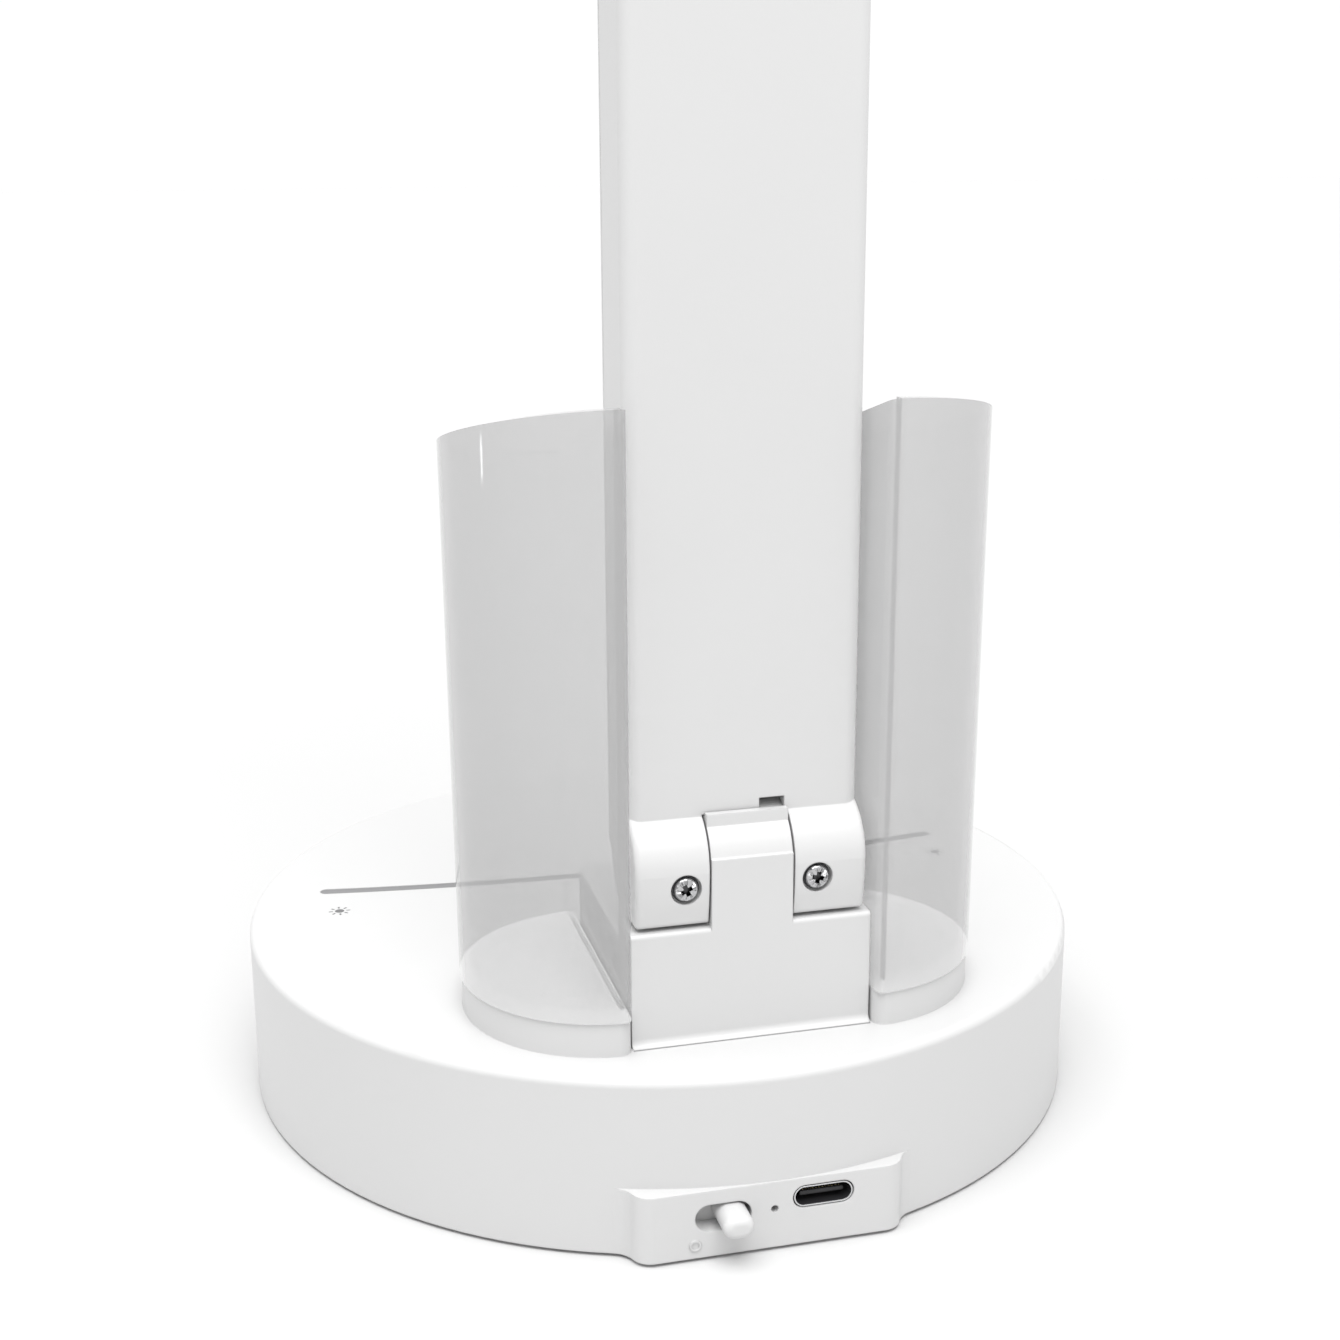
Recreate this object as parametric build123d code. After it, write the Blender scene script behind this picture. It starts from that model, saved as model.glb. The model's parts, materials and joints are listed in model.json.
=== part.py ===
from build123d import *
import math
import os

# Rechargeable desk lamp with two pen cups: a round base, a flat stem that folds forward on a
# barrel hinge, and a flat lamp head that folds against the stem.
# Millimetres, +Z up, origin at the centre of the foot pad's underside.
# -Y is the lamp's front, where the head reaches out; +Y is its rear, with the ports.

# ---------- Driving dimensions ----------
# Base housing
BASE_R = 70.0              # radius of the round base
BASE_TOP = 28.0            # height of the base's top face
BASE_WALL = 2.4            # side wall of the base shell
BASE_ROOF = 2.6            # top wall of the base shell
BASE_EDGE_R = 1.3          # rounding of the base's top edge
PAD_INSET = 8.0            # anti-slip pad, a full disc, inside the base's edge
PAD_T = 1.5
SKIRT_GAP = 0.5            # shell's lower rim above the table
PLATE_T = 2.0              # bottom plate
BOSS_R = 3.5               # screw bosses inside the base
BOSS_INSET = 11.0          # from the base's edge to the bosses' centres

# Port block on the rear of the base
PORT_X = 0.7               # centre of the block
PORT_W = 41.0
PORT_TOP = 11.0
PORT_PROUD = 0.3           # flat rear face of the port block beyond the base's edge
PORT_CORNER_R = 3.0
PORT_BLEND_R = 4.0         # hollow blend between the block's ends and the round wall
USB_X = -7.0               # receptacle centre
USB_RISE = 1.3             # receptacle's centre above the slot's
USB_W = 8.94               # shell of a USB type C receptacle, a standard size
USB_H = 3.26
USB_L = 7.3
USB_SKIN = 0.35
SLOT_X = 8.1               # centre of the slide switch's slot
SLOT_Z = 6.7
SLOT_W = 8.4
SLOT_H = 4.2
KNOB_W = 4.6
KNOB_END_GAP = 0.6         # knob to the slot's end at each end of its travel
KNOB_PROUD = 4.3           # knob beyond the port block's face
KNOB_TIP_R = 1.2
FLANGE_T = 0.8             # knob's flange, which closes the slot from inside
FLANGE_LAP = 0.2           # flange beyond the slot's end at the far end of the travel
LED_X = 0.4                # charge indicator's pinhole
PINHOLE_R = 0.55
OFF_RING_Z = 2.6           # small raised ring that marks the switch's off side
OFF_RING_PROUD = 0.2

# Weight, battery and boards in the base
BALLAST_INSET = 18.0
BALLAST_T = 5.0
CELL_R = 9.2               # 18650 lithium cell, a standard size
CELL_L = 65.0
CELL_Y = -30.0
CRADLE_WALL = 1.6
PCB_T = 1.6
PCB_W = 38.0
PCB_FRONT_Y = 32.0

# Touch strip in the base's top
STRIP_INSET = 14.0         # from the base's edge to the strip's ends
STRIP_W = 2.2
STRIP_DEPTH = 0.8
STRIP_ARC_R = 370.0        # the strip bows slightly towards the front at its ends
STRIP_MID_Y = -12.0
TOUCH_BOARD_W = 14.0
ICON_R = 1.85              # sun icon behind each end of the strip
ICON_INSET = 1.4           # icon's centre inside the strip's end
ICON_Y = -6.7
ICON_DEPTH = 0.3

# Stem
STEM_HALF = 17.4
STEM_T = 14.0
STEM_WALL = 2.2
STEM_EDGE_R = 2.0
COVER_T = 1.9
HEAD_AXIS_Z = 334.0        # head hinge axis, along X
EAR_R = 7.0
EAR_T = 7.8                # thickness of the two ears that hold the head

# Hinge at the foot of the stem; its axis runs along X
HINGE_Y = 48.9
BARREL_R = 8.1
BARREL_END_R = 0.8         # rounding of the barrels' outer ends
TAIL_ARC_R = 40.0          # slight curve of the barrels' rear face below the axis
TAIL_FOOT_R = 0.8
STEM_BACK = 3.8            # stem's rear face behind the hinge axis
KNUCKLE_HALF = 6.15
KNUCKLE_TRIM = 0.1         # knuckle's radius is less than the barrels' by this
PIN_R = 2.0
BUSH_WALL = 1.2            # bushes in the stem's barrels
HEAD_BUSH_WALL = 0.8
FLAT_RISE = 1.8            # top of the knuckle's flat rear face above the axis
LIP_RISE = 3.6             # foot of the stop lip above the axis
LIP_H = 4.2
LIP_T = 1.2
FOLD_GAP = 2.3             # folded head above the base's top
DECK_GAP = 1.6             # stem's foot above the bracket's deck as it turns
RIDGE_DROP = 8.6           # top of the rear ridge below the axis
RIDGE_GAP = 0.5
RIDGE_EDGE_R = 0.6
BRACKET_BLEND_R = 1.2      # hollow blend between the bracket's rear and the base's top
NOTCH_DEPTH = 6.0          # small opening above the stop lip
BLOCK_FRONT_Y = 19.0
BLOCK_SIDE = 0.8           # bracket wider than the stem, each side
CLAMP_SCREW_IN = 3.45      # clamp screws in the barrels, from their inner ends
CLAMP_SCREW_DZ = -2.3
CLAMP_RECESS_R = 2.3
CLAMP_SEAT = 6.9           # floor of the screw recess behind the axis
CLAMP_HEAD_R = 2.05
CLAMP_SHANK_R = 1.1
CAP_T = 1.5                # caps over the hinge's ends

# Head
HEAD_SIDE = 0.2            # head narrower than the stem, each side
HEAD_LENGTH = 230.0        # hinge axis to tip
HEAD_T = 13.0
HEAD_DROP = 3.0            # head's lower face below its hinge axis
HEAD_ROOT = 8.0            # start of the full width in front of the axis
HEAD_WALL = 1.8
HEAD_TIP_R = 10.0
HEAD_KNUCKLE_TRIM = 0.2
DIFFUSER_T = 2.0
LED_COUNT = 18             # along each of the two rows
LED_ROW_X = 7.0

# Pen cups: half-round in plan, flat towards the stem, rim sloping up to the rear
CUP_BACK = 19.0            # centre of the round wall in front of the bracket's rear
PLINTH_STEP = 0.3          # plinth's radius is less than the cup's foot by this
PLINTH_H = 5.3
CUP_R_FOOT = 21.7          # outside radius at the cup's floor
CUP_R_RIM = 22.4           # outside radius at the rim's highest point
CUP_WALL = 1.6
CUP_FLOOR = 2.0
CUP_CORNER_R = 2.0
CUP_H = 83.7               # plinth to rim, RIM_BACK behind the cup's centre
RIM_BACK = 6.0
RIM_SLOPE = 0.275          # rise of the rim per millimetre towards the rear
SPIGOT_R = 5.0             # peg under the cup that locates it on its plinth
SPIGOT_IN = 9.0            # peg's axis from the cup's flat wall
SPIGOT_L = 2.0

# Clearances
RUN_CLEAR = 0.05           # pin in its bush
FIT_CLEAR = 0.2            # fixed pieces that drop into one another
MOVE_CLEAR = 0.3           # moving faces beside one another
STOP_CLEAR = 0.3           # stop lip behind the upright stem
EAR_CLEAR = 0.5            # head between the stem's ears
REST_CLEAR = 0.5           # folded head in front of the stem
SCREW_CLEAR = 0.15

# ---------- Places that follow from them ----------
PAD_R = BASE_R - PAD_INSET
BOSS_PCD_R = BASE_R - BOSS_INSET
BALLAST_R = BASE_R - BALLAST_INSET
ROOF_Z = BASE_TOP - BASE_ROOF
PLATE_TOP = PAD_T + PLATE_T
SHELL_BORE_R = BASE_R - BASE_WALL
PLATE_R = SHELL_BORE_R - MOVE_CLEAR
PORT_Y = BASE_R + PORT_PROUD
CELL_Z = PLATE_TOP + CRADLE_WALL + CELL_R
USB_Z = SLOT_Z + USB_RISE
PCB_TOP = USB_Z - USB_H / 2
PCB_BOTTOM = PCB_TOP - PCB_T
PCB_REAR_R = SHELL_BORE_R - 0.8
SWITCH_REAR_Y = SHELL_BORE_R - 1.7
KNOB_REST_X = SLOT_X - SLOT_W / 2 + KNOB_END_GAP + KNOB_W / 2
KNOB_TRAVEL = SLOT_W - KNOB_W - 2 * KNOB_END_GAP
FLANGE_HALF = SLOT_W - KNOB_END_GAP - KNOB_W / 2 + FLANGE_LAP
FLANGE_Z_HALF = SLOT_H / 2 + 0.6
FLANGE_FRONT_Y = SWITCH_REAR_Y + 0.4
FLANGE_REAR_Y = FLANGE_FRONT_Y + FLANGE_T
FLANGE_PATH = (KNOB_REST_X - FLANGE_HALF - MOVE_CLEAR, KNOB_REST_X + KNOB_TRAVEL + FLANGE_HALF + MOVE_CLEAR)
STRIP_HALF = BASE_R - STRIP_INSET
ICON_X = STRIP_HALF - ICON_INSET

STEM_REAR_Y = HINGE_Y + STEM_BACK
STEM_FRONT_Y = STEM_REAR_Y - STEM_T
COVER_REAR_Y = STEM_FRONT_Y + COVER_T
TRAY_FRONT_Y = COVER_REAR_Y + 0.1
HEAD_AXIS_Y = STEM_FRONT_Y - REST_CLEAR - HEAD_DROP
HINGE_Z = BASE_TOP + FOLD_GAP + HINGE_Y - HEAD_AXIS_Y + HEAD_T - HEAD_DROP
FOLD_R = HINGE_Y - STEM_FRONT_Y          # what the stem's foot sweeps about its axis
DECK_Z = HINGE_Z - FOLD_R - DECK_GAP
RIDGE_TOP = HINGE_Z - RIDGE_DROP
RIDGE_FRONT_Y = HINGE_Y + RIDGE_GAP
BLOCK_HALF = STEM_HALF + BLOCK_SIDE
BLOCK_REAR_Y = HINGE_Y + BARREL_R
KNUCKLE_R = BARREL_R - KNUCKLE_TRIM
LIP_FRONT_Y = STEM_REAR_Y + STOP_CLEAR
BUSH_R = PIN_R + BUSH_WALL
HEAD_BUSH_R = PIN_R + HEAD_BUSH_WALL
BARREL_INNER = KNUCKLE_HALF + MOVE_CLEAR
NOTCH_R = KNUCKLE_R + MOVE_CLEAR
HINGE_CAP_R = BUSH_R + 1.0
HEAD_CAP_R = PIN_R + 2.0
CLAMP_SCREW_X = BARREL_INNER + CLAMP_SCREW_IN
PIN_HALF = STEM_HALF - CAP_T - FIT_CLEAR
CLAMP_SCREW_Z = HINGE_Z + CLAMP_SCREW_DZ
CLAMP_SEAT_Y = HINGE_Y + CLAMP_SEAT
CAVITY_FOOT = HINGE_Z + BARREL_R + 4.9

EAR_INNER = STEM_HALF - EAR_T
EAR_TOP = HEAD_AXIS_Z + EAR_R
EAR_BOTTOM = HEAD_AXIS_Z - EAR_R
CAVITY_TOP = EAR_BOTTOM - 3.0
HEAD_HALF = STEM_HALF - HEAD_SIDE
HEAD_KNUCKLE_R = EAR_R - HEAD_KNUCKLE_TRIM
HEAD_KNUCKLE_HALF = EAR_INNER - EAR_CLEAR
POCKET_REAR_Y = HEAD_AXIS_Y + HEAD_KNUCKLE_R + 0.6
HEAD_BOTTOM = HEAD_AXIS_Z - HEAD_DROP
HEAD_TOP = HEAD_BOTTOM + HEAD_T
HEAD_ROOT_Y = HEAD_AXIS_Y - HEAD_ROOT
HEAD_TIP_Y = HEAD_AXIS_Y - HEAD_LENGTH

CUP_FLAT_X = BLOCK_HALF + MOVE_CLEAR     # outside of the cup's flat wall
CUP_Y = BLOCK_REAR_Y - CUP_BACK
PLINTH_R = CUP_R_FOOT - PLINTH_STEP
PLINTH_TOP = BASE_TOP + PLINTH_H
RIM_Y = CUP_Y + RIM_BACK
RIM_Z = PLINTH_TOP + CUP_H
CUP_TOP = RIM_Z + RIM_SLOPE * (CUP_Y + CUP_R_RIM - RIM_Y)
SPIGOT_X = CUP_FLAT_X + SPIGOT_IN

BOSS_PLACES = [(BOSS_PCD_R * math.cos(math.radians(a)), BOSS_PCD_R * math.sin(math.radians(a)))
               for a in (45, 135, 225, 315)]
BRACKET_SCREWS = [(x, y) for x in (-BLOCK_HALF + 7, BLOCK_HALF - 7)
                  for y in (BLOCK_FRONT_Y + 7, BLOCK_REAR_Y - 7)]
BALLAST_SCREWS = [(-BALLAST_R + 8, 0.0), (BALLAST_R - 8, 0.0), (0.0, PCB_FRONT_Y - 16)]
BOARD_SCREWS = [(-PCB_W / 2 + 4.5, PCB_FRONT_Y + 4), (PCB_W / 2 - 4.5, PCB_FRONT_Y + 4),
                (-PCB_W / 2 + 4, PCB_REAR_R - 9.8)]

OUT = {}


# ---------- Shape helpers ----------
def block(x0, x1, y0, y1, z0, z1):
    centre = Pos((x0 + x1) / 2, (y0 + y1) / 2, (z0 + z1) / 2)
    return centre * Box(x1 - x0, y1 - y0, z1 - z0)


def rod_z(radius, x, y, z0, z1):
    return Pos(x, y, (z0 + z1) / 2) * Cylinder(radius, z1 - z0)


def rod_x(radius, x0, x1, y, z):
    return Pos((x0 + x1) / 2, y, z) * Rot(0, 90, 0) * Cylinder(radius, x1 - x0)


def rod_y(radius, x, z, y0, y1):
    return Pos(x, (y0 + y1) / 2, z) * Rot(90, 0, 0) * Cylinder(radius, y1 - y0)


def stadium_y(width, height, x, z, y0, y1):
    """A bar along Y whose section is a stadium lying along X."""
    reach = (width - height) / 2
    bar = block(x - reach, x + reach, y0, y1, z - height / 2, z + height / 2)
    return bar + rod_y(height / 2, x - reach, z, y0, y1) + rod_y(height / 2, x + reach, z, y0, y1)


def upright_edges(solid, x=None, y=None):
    """The edges along Z that lie at the given X or Y."""
    picked = []
    for edge in solid.edges().filter_by(Axis.Z):
        spot = edge.center()
        if x is not None and abs(abs(spot.X) - x) > 0.01:
            continue
        if y is not None and abs(spot.Y - y) > 0.01:
            continue
        picked.append(edge)
    return picked


def countersunk_screw(x, y, z_head, head_r, head_h, shaft_r, z_tip):
    """A screw driven upwards from z_head, with a cross recess in its flat head."""
    screw = rod_z(head_r, x, y, z_head, z_head + head_h)
    screw += rod_z(shaft_r, x, y, z_head + head_h, z_tip)
    for turn in (0, 90):
        screw -= Pos(x, y, z_head) * Rot(0, 0, turn) * Box(head_r * 1.3, head_r * 0.3, head_h)
    return screw


def half_round(r_foot, r_rim, flat_x, corner_r, z0, z1):
    """A half-round column beside the stem, flat at flat_x, with rounded upright corners."""
    faces = []
    for radius, z in ((r_foot, z0), (r_rim, z1)):
        half_disc = Circle(radius) & Pos(flat_x - CUP_FLAT_X + radius, 0) * Rectangle(2 * radius, 3 * radius)
        faces.append(Pos(CUP_FLAT_X, CUP_Y, z) * fillet(half_disc.vertices(), corner_r))
    return loft(faces, ruled=True)


def mirrored(solid):
    return mirror(solid, Plane.YZ)


# ---------- Base ----------
def strip_band(half_length, width, z0, z1):
    """The touch strip's curved outline with round ends."""
    centre_y = STRIP_MID_Y - STRIP_ARC_R
    ring = rod_z(STRIP_ARC_R + width / 2, 0, centre_y, z0, z1)
    ring -= rod_z(STRIP_ARC_R - width / 2, 0, centre_y, z0 - 1, z1 + 1)
    band = ring & block(-half_length, half_length, STRIP_MID_Y - 10, STRIP_MID_Y + 10, z0, z1)
    end_y = centre_y + math.sqrt(STRIP_ARC_R ** 2 - half_length ** 2)
    for side in (-1, 1):
        band += rod_z(width / 2, side * half_length, end_y, z0, z1)
    return band


def sun_icon(x, y, radius, z0, z1):
    """A dot with eight short rays, as separate slugs."""
    slugs = [rod_z(radius * 0.42, x, y, z0, z1)]
    for k in range(8):
        ray = Pos(x, y, (z0 + z1) / 2) * Rot(0, 0, 45 * k) * Pos(radius * 0.8, 0, 0)
        slugs.append(ray * Box(radius * 0.36, radius * 0.16, z1 - z0))
    return slugs


def port_band():
    """The lower part of the base's wall, with the port block blended into it at both ends."""
    panel = block(PORT_X - PORT_W / 2, PORT_X + PORT_W / 2, 0, PORT_Y, SKIRT_GAP, PORT_TOP)
    panel = fillet(upright_edges(panel, y=PORT_Y), PORT_CORNER_R)
    band = rod_z(BASE_R, 0, 0, SKIRT_GAP, PORT_TOP) + panel
    joins = []
    for edge in band.edges().filter_by(Axis.Z):
        spot = edge.center()
        if spot.Y > BASE_R / 2 and abs(math.hypot(spot.X, spot.Y) - BASE_R) < 0.01:
            joins.append(edge)
    return fillet(joins, PORT_BLEND_R)


def base_shell():
    body = rod_z(BASE_R, 0, 0, SKIRT_GAP, BASE_TOP)
    body = fillet(body.edges().group_by(Axis.Z)[-1], BASE_EDGE_R)
    body += port_band()
    plinth = half_round(PLINTH_R, PLINTH_R, CUP_FLAT_X, CUP_CORNER_R, BASE_TOP - 1, PLINTH_TOP)
    body += plinth
    body += mirrored(plinth)
    body -= rod_z(SHELL_BORE_R, 0, 0, 0, ROOF_Z)
    hollow_r = PLINTH_R - BASE_WALL
    hollow = half_round(hollow_r, hollow_r, CUP_FLAT_X + BASE_WALL, CUP_CORNER_R / 2,
                        ROOF_Z - 1, PLINTH_TOP - BASE_WALL)
    body -= hollow
    body -= mirrored(hollow)
    for side in (-1, 1):
        body -= rod_z(SPIGOT_R + FIT_CLEAR, side * SPIGOT_X, CUP_Y, BASE_TOP, PLINTH_TOP + 1)
    for x, y in BOSS_PLACES:
        body += rod_z(BOSS_R, x, y, PLATE_TOP, ROOF_Z)
        body -= rod_z(1.5 + SCREW_CLEAR, x, y, PLATE_TOP - 1, PLATE_TOP + 11)
    body -= strip_band(STRIP_HALF, STRIP_W, BASE_TOP - STRIP_DEPTH, BASE_TOP + 1)
    for side in (-1, 1):
        for slug in sun_icon(side * ICON_X, ICON_Y, ICON_R, BASE_TOP - ICON_DEPTH, BASE_TOP + 1):
            body -= slug
    for x, y in BRACKET_SCREWS:
        body -= rod_z(1.5 + SCREW_CLEAR, x, y, ROOF_Z - 1, BASE_TOP + 1)
    body -= rod_z(3.0, 0, BLOCK_FRONT_Y + 12, ROOF_Z - 1, BASE_TOP + 1)
    inner_y = SHELL_BORE_R - 8
    body -= stadium_y(SLOT_W, SLOT_H, SLOT_X, SLOT_Z, inner_y, PORT_Y + 1)
    body -= stadium_y(USB_W + 2 * FIT_CLEAR, USB_H + 2 * FIT_CLEAR, USB_X, USB_Z, inner_y, PORT_Y + 1)
    body -= rod_y(PINHOLE_R, LED_X, SLOT_Z, inner_y, PORT_Y + 1)
    # Flat pocket inside the wall for the knob's flange
    reach_z = FLANGE_Z_HALF + MOVE_CLEAR
    body -= block(*FLANGE_PATH, inner_y, FLANGE_REAR_Y + 0.1, SLOT_Z - reach_z, SLOT_Z + reach_z)
    # Raised ring beside the slot: the switch's off side
    ring_x = SLOT_X + SLOT_W / 2
    ring = rod_y(0.9, ring_x, OFF_RING_Z, PORT_Y - 0.2, PORT_Y + OFF_RING_PROUD)
    ring -= rod_y(0.55, ring_x, OFF_RING_Z, PORT_Y - 1, PORT_Y + 1)
    body += ring
    return body


def bottom_plate():
    plate = rod_z(PLATE_R, 0, 0, PAD_T, PLATE_TOP)
    for x, y in BOSS_PLACES:
        plate -= rod_z(1.5 + SCREW_CLEAR, x, y, PAD_T - 1, PLATE_TOP + 1)
        plate -= rod_z(2.8 + SCREW_CLEAR, x, y, PAD_T - 1, PAD_T + 1.2)
    for x, y in BOARD_SCREWS:
        plate += rod_z(2.6, x, y, PLATE_TOP, PCB_BOTTOM)
        plate -= rod_z(1.0 + SCREW_CLEAR, x, y, PAD_T + 0.6, PCB_BOTTOM + 1)
    for x, y in BALLAST_SCREWS:
        plate -= rod_z(1.5 + SCREW_CLEAR, x, y, PAD_T + 0.4, PLATE_TOP + 1)
    return plate


def ballast_disc():
    disc = rod_z(BALLAST_R, 0, 0, PLATE_TOP, PLATE_TOP + BALLAST_T)
    half_l = CELL_L / 2 + CRADLE_WALL + 2
    half_w = CELL_R + CRADLE_WALL + 1
    disc -= block(-half_l, half_l, -BALLAST_R - 1, CELL_Y + half_w, PLATE_TOP - 1, PLATE_TOP + BALLAST_T + 1)
    disc -= block(-PCB_W / 2 - 2, PCB_W / 2 + 2, PCB_FRONT_Y - 2, BASE_R, 0, PLATE_TOP + BALLAST_T + 1)
    for x, y in BALLAST_SCREWS:
        disc -= rod_z(1.5 + SCREW_CLEAR, x, y, 0, PLATE_TOP + BALLAST_T + 1)
    return disc


def pan_head_screw_down(x, y, z_seat, shaft_r, z_tip):
    """A screw driven downwards with its head seated at z_seat."""
    screw = rod_z(shaft_r * 1.9, x, y, z_seat, z_seat + 1.3)
    screw += rod_z(shaft_r, x, y, z_tip, z_seat)
    for turn in (0, 90):
        slot = Box(shaft_r * 2.4, shaft_r * 0.5, 1.2)
        screw -= Pos(x, y, z_seat + 1.3) * Rot(0, 0, turn) * slot
    return screw


def battery_cradle():
    half_l = CELL_L / 2 + CRADLE_WALL + 0.6
    half_w = CELL_R + CRADLE_WALL
    cradle = block(-half_l, half_l, CELL_Y - half_w, CELL_Y + half_w, PLATE_TOP, CELL_Z + 1.5)
    cradle -= rod_x(CELL_R + FIT_CLEAR, -half_l + CRADLE_WALL, half_l - CRADLE_WALL, CELL_Y, CELL_Z)
    cradle -= block(-half_l + CRADLE_WALL, half_l - CRADLE_WALL, CELL_Y - CELL_R - FIT_CLEAR,
                    CELL_Y + CELL_R + FIT_CLEAR, CELL_Z, CELL_Z + 5)
    return cradle


def battery_cell():
    cell = rod_x(CELL_R, -CELL_L / 2, CELL_L / 2, CELL_Y, CELL_Z)
    return fillet(cell.edges(), 0.8)


def battery_tabs():
    tabs = []
    for side in (-1, 1):
        inner = side * (CELL_L / 2 + 0.02)
        outer = side * (CELL_L / 2 + 0.32)
        ends = sorted((inner, outer))
        tabs.append(block(*ends, CELL_Y - 3, CELL_Y + 3, CELL_Z - 4, CELL_Z + 9))
    return tabs


def main_board():
    board = block(-PCB_W / 2, PCB_W / 2, PCB_FRONT_Y, BASE_R, PCB_BOTTOM, PCB_TOP)
    board &= rod_z(PCB_REAR_R, 0, 0, PCB_BOTTOM - 1, PCB_TOP + 1)
    board -= block(SLOT_X - 5.2, SLOT_X + 5.2, SWITCH_REAR_Y - 7.7, BASE_R, PCB_BOTTOM - 1, PCB_TOP + 1)
    board -= block(*FLANGE_PATH, FLANGE_FRONT_Y - MOVE_CLEAR, BASE_R, PCB_BOTTOM - 1, PCB_TOP + 1)
    for x, y in BOARD_SCREWS:
        board -= rod_z(1.0 + SCREW_CLEAR, x, y, PCB_BOTTOM - 1, PCB_TOP + 1)
    # Charge controller, driver chip and inductor soldered to the board
    chip_y = PCB_FRONT_Y + 8
    board += block(-9, -3, chip_y + 2, chip_y + 8, PCB_TOP, PCB_TOP + 1.0)
    board += block(4, 8, chip_y - 2, chip_y + 2, PCB_TOP, PCB_TOP + 0.9)
    board += rod_z(3.0, 8, chip_y + 10, PCB_TOP, PCB_TOP + 3.0)
    return board


def usb_socket():
    front_y = PORT_Y - 0.1
    socket = stadium_y(USB_W, USB_H, USB_X, USB_Z, front_y - USB_L, front_y)
    socket -= stadium_y(USB_W - 2 * USB_SKIN, USB_H - 2 * USB_SKIN, USB_X, USB_Z,
                        front_y - USB_L + 1, front_y + 1)
    tongue = block(USB_X - 3.3, USB_X + 3.3, front_y - USB_L + 0.5, front_y - 1.0, USB_Z - 0.35, USB_Z + 0.35)
    return socket + tongue


def switch_body():
    body = block(SLOT_X - 5.0, SLOT_X + 5.0, SWITCH_REAR_Y - 7.4, SWITCH_REAR_Y, SLOT_Z - 2.2, SLOT_Z + 2.2)
    body -= block(SLOT_X - 4.0, SLOT_X + 4.0, SWITCH_REAR_Y - 5, SWITCH_REAR_Y + 1,
                  SLOT_Z - 1.2, SLOT_Z + 1.2)
    return body


def switch_knob():
    knob = stadium_y(KNOB_W, SLOT_H - 3 * FIT_CLEAR, KNOB_REST_X, SLOT_Z, FLANGE_FRONT_Y, PORT_Y + KNOB_PROUD)
    knob = fillet(knob.edges().group_by(Axis.Y)[-1], KNOB_TIP_R)
    knob += block(KNOB_REST_X - FLANGE_HALF, KNOB_REST_X + FLANGE_HALF, FLANGE_FRONT_Y, FLANGE_REAR_Y,
                  SLOT_Z - FLANGE_Z_HALF, SLOT_Z + FLANGE_Z_HALF)
    tongue = block(KNOB_REST_X - 1.2, KNOB_REST_X + 1.2, SWITCH_REAR_Y - 4.5, SWITCH_REAR_Y + 1,
                   SLOT_Z - 0.9, SLOT_Z + 0.9)
    return knob + tongue


def charge_led():
    rear_y = FLANGE_FRONT_Y - MOVE_CLEAR
    return block(LED_X - 0.8, LED_X + 0.8, rear_y - 1.6, rear_y, PCB_TOP, PCB_TOP + 0.9)


def touch_board():
    return block(-STRIP_HALF, STRIP_HALF, STRIP_MID_Y - TOUCH_BOARD_W / 2,
                 STRIP_MID_Y + TOUCH_BOARD_W / 2, ROOF_Z - PCB_T, ROOF_Z)


# ---------- Hinge bracket ----------
def hinge_bracket():
    body = block(-BLOCK_HALF, BLOCK_HALF, BLOCK_FRONT_Y, BLOCK_REAR_Y, BASE_TOP, DECK_Z)
    body = fillet(upright_edges(body, x=BLOCK_HALF, y=BLOCK_FRONT_Y), 2.0)
    ridge = block(-BLOCK_HALF, BLOCK_HALF, RIDGE_FRONT_Y, BLOCK_REAR_Y, DECK_Z - 1, RIDGE_TOP)
    top_rear = ridge.edges().filter_by(Axis.X).group_by(Axis.Z)[-1].sort_by(Axis.Y)[-1]
    ridge = fillet(top_rear, RIDGE_EDGE_R)
    # Hollow blend where the bracket's rear face meets the base
    blend = block(-BLOCK_HALF, BLOCK_HALF, BLOCK_REAR_Y - 1, BLOCK_REAR_Y + BRACKET_BLEND_R,
                  BASE_TOP, BASE_TOP + BRACKET_BLEND_R)
    blend -= rod_x(BRACKET_BLEND_R, -BLOCK_HALF - 1, BLOCK_HALF + 1,
                   BLOCK_REAR_Y + BRACKET_BLEND_R, BASE_TOP + BRACKET_BLEND_R)
    # Knuckle: round about the hinge axis, flat at the rear, with the stop lip on top
    with_lip = Plane.YZ * Polyline(
        (HINGE_Y + 0.6, DECK_Z - 1), (BLOCK_REAR_Y, DECK_Z - 1), (BLOCK_REAR_Y, HINGE_Z + FLAT_RISE),
        (LIP_FRONT_Y + LIP_T, HINGE_Z + LIP_RISE), (LIP_FRONT_Y + LIP_T, HINGE_Z + LIP_RISE + LIP_H),
        (LIP_FRONT_Y, HINGE_Z + LIP_RISE + LIP_H), (LIP_FRONT_Y, HINGE_Z),
        (HINGE_Y + 0.6, HINGE_Z), (HINGE_Y + 0.6, DECK_Z - 1))
    neck = Pos(-KNUCKLE_HALF, 0, 0) * extrude(make_face(with_lip), 2 * KNUCKLE_HALF)
    knuckle = rod_x(KNUCKLE_R, -KNUCKLE_HALF, KNUCKLE_HALF, HINGE_Y, HINGE_Z) + neck
    body = body + ridge + blend + knuckle
    body -= rod_x(PIN_R, -KNUCKLE_HALF - 1, KNUCKLE_HALF + 1, HINGE_Y, HINGE_Z)
    for x, y in BRACKET_SCREWS:
        body -= rod_z(1.5 + SCREW_CLEAR, x, y, BASE_TOP - 1, BASE_TOP + 9)
    # Wire way from the base up to the deck in front of the stem
    body -= rod_z(3.0, 0, BLOCK_FRONT_Y + 12, BASE_TOP - 1, DECK_Z + 1)
    return body


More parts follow.
